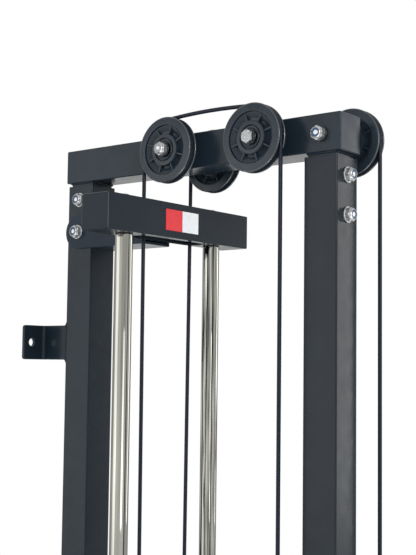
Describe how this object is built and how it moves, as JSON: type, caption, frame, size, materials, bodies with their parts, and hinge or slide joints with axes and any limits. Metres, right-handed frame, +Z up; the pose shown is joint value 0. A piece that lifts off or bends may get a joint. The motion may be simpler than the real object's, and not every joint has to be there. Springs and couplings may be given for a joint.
{
  "type": "wall pulley weight stack",
  "caption": "Tubular steel pulley tower with a pin-selected weight stack on chromed guide rods, and a high and a low cable ending in stirrup handles.",
  "frame": {"origin": "on the floor, at the middle of the underside of the rear foot, under the centre line of the rear upright", "axes": "+Z up, +X away from the wall towards the user, +Y to the side of the high cable"},
  "size_m": [0.6941, 0.52, 2.1193],
  "materials": {
    "frame_paint": "satin black powder coat",
    "stack_paint": "fine textured black powder coat",
    "chrome_rod": "bright chrome plate",
    "nylon": "moulded satin nylon",
    "coated_cable": "smooth extruded coating",
    "rubber": "matt moulded rubber",
    "bright_steel": "turned and plated",
    "zinc_fastener": "bright zinc plate"
  },
  "bodies": {
    "frame": {"rear_upright": "frame_paint", "front_upright": "frame_paint", "top_beam": "frame_paint", "rear_foot": "frame_paint", "front_foot": "frame_paint", "base_rail": "frame_paint", "guide_head": "frame_paint", "guide_foot": "frame_paint", "head_arm": "frame_paint", "near_wall_bracket": "frame_paint", "far_wall_bracket": "frame_paint", "near_guide_rod": "chrome_rod", "far_guide_rod": "chrome_rod", "near_bumper": "rubber", "far_bumper": "rubber", "rear_upper_joint_bolt": "zinc_fastener", "rear_lower_joint_bolt": "zinc_fastener", "front_upper_joint_bolt": "zinc_fastener", "front_lower_joint_bolt": "zinc_fastener", "stack_pulley_axle": "zinc_fastener", "low_lead_pulley_axle": "zinc_fastener", "high_lead_pulley_axle": "zinc_fastener", "low_pulley_axle": "zinc_fastener", "near_stack_spacer": "zinc_fastener", "far_stack_spacer": "zinc_fastener", "low_lead_spacer": "zinc_fastener", "high_lead_spacer": "zinc_fastener", "low_pulley_spacer": "zinc_fastener", "low_cable_route": "coated_cable", "high_cable_route": "coated_cable", "near_stack_fall": "coated_cable", "far_stack_fall": "coated_cable", "high_cable_tail": "coated_cable", "weight_plate_4": "stack_paint", "weight_plate_5": "stack_paint", "weight_plate_6": "stack_paint", "weight_plate_7": "stack_paint", "weight_plate_8": "stack_paint"},
    "stack": {"stack_top_plate": "stack_paint", "selector_stem": "bright_steel", "traveller_yoke": "stack_paint", "traveller_axle": "zinc_fastener", "traveller_cable_wrap": "coated_cable", "weight_plate_1": "stack_paint", "weight_plate_2": "stack_paint", "weight_plate_3": "stack_paint"},
    "selector_pin": {"selector_pin": "bright_steel"},
    "traveller_pulley": {"traveller_pulley": "nylon"},
    "near_stack_pulley": {"near_stack_pulley": "nylon"},
    "far_stack_pulley": {"far_stack_pulley": "nylon"},
    "low_lead_pulley": {"low_lead_pulley": "nylon"},
    "high_lead_pulley": {"high_lead_pulley": "nylon"},
    "low_pulley": {"low_pulley": "nylon"},
    "high_cable_end": {"high_cable_stop": "rubber"},
    "high_handle": {"high_snap_hook": "bright_steel", "high_handle": "rubber"},
    "low_cable_end": {"low_cable_tail": "coated_cable", "low_cable_stop": "rubber"},
    "low_handle": {"low_snap_hook": "bright_steel", "low_handle": "rubber"}
  },
  "joints": [
    {"name": "stack_lift", "type": "slide", "parent": "frame", "child": "stack", "axis": [0, 0, 1], "range_m": [0, 0.75], "deforming": ["near_stack_fall", "far_stack_fall"]},
    {"name": "high_handle_pull", "type": "slide", "parent": "frame", "child": "high_cable_end", "axis": [0, 0, -1], "range_m": [0, 0.75], "deforming": ["high_cable_tail"]},
    {"name": "low_handle_pull", "type": "slide", "parent": "frame", "child": "low_cable_end", "axis": [1, 0, 0], "range_m": [0, 0.75]},
    {"name": "near_stack_pulley_turn", "type": "hinge", "parent": "frame", "child": "near_stack_pulley", "pos_m": [0.1959, -0.052, 2.0733], "axis": [0, 1, 0], "range_deg": [0, 1011]},
    {"name": "far_stack_pulley_turn", "type": "hinge", "parent": "frame", "child": "far_stack_pulley", "pos_m": [0.1959, 0.052, 2.0733], "axis": [0, 1, 0], "range_deg": [0, 1011]},
    {"name": "low_lead_pulley_turn", "type": "hinge", "parent": "frame", "child": "low_lead_pulley", "pos_m": [0.344, -0.052, 2.0733], "axis": [0, 1, 0], "range_deg": [0, 1011]},
    {"name": "high_lead_pulley_turn", "type": "hinge", "parent": "frame", "child": "high_lead_pulley", "pos_m": [0.43, 0.052, 2.0733], "axis": [0, 1, 0], "range_deg": [0, 1011]},
    {"name": "low_pulley_turn", "type": "hinge", "parent": "frame", "child": "low_pulley", "pos_m": [0.43, -0.052, 0.33], "axis": [0, 1, 0], "range_deg": [-1011, 0]},
    {"name": "traveller_pulley_turn", "type": "hinge", "parent": "stack", "child": "traveller_pulley", "pos_m": [0.1529, 0, 0.3936], "axis": [1, 0, 0], "continuous": true},
    {"name": "selector_pin_pull", "type": "slide", "parent": "stack", "child": "selector_pin", "axis": [1, 0, 0], "range_m": [0, 0.085]},
    {"name": "high_handle_swing", "type": "hinge", "parent": "high_cable_end", "child": "high_handle", "pos_m": [0.473, 0.052, 1.2572], "axis": [0, 1, 0], "range_deg": [-60, 60]},
    {"name": "low_handle_swing", "type": "hinge", "parent": "low_cable_end", "child": "low_handle", "pos_m": [0.5511, -0.052, 0.287], "axis": [0, 1, 0], "range_deg": [-90, 10]}
  ],
  "couplings": [
    {"joint": "high_handle_pull", "follows": "stack_lift", "ratio": 1},
    {"joint": "low_handle_pull", "follows": "stack_lift", "ratio": 1},
    {"joint": "near_stack_pulley_turn", "follows": "stack_lift", "rad_per_m": 23.256},
    {"joint": "far_stack_pulley_turn", "follows": "stack_lift", "rad_per_m": 23.256},
    {"joint": "low_lead_pulley_turn", "follows": "stack_lift", "rad_per_m": 23.256},
    {"joint": "high_lead_pulley_turn", "follows": "stack_lift", "rad_per_m": 23.256},
    {"joint": "low_pulley_turn", "follows": "stack_lift", "rad_per_m": -23.256}
  ]
}
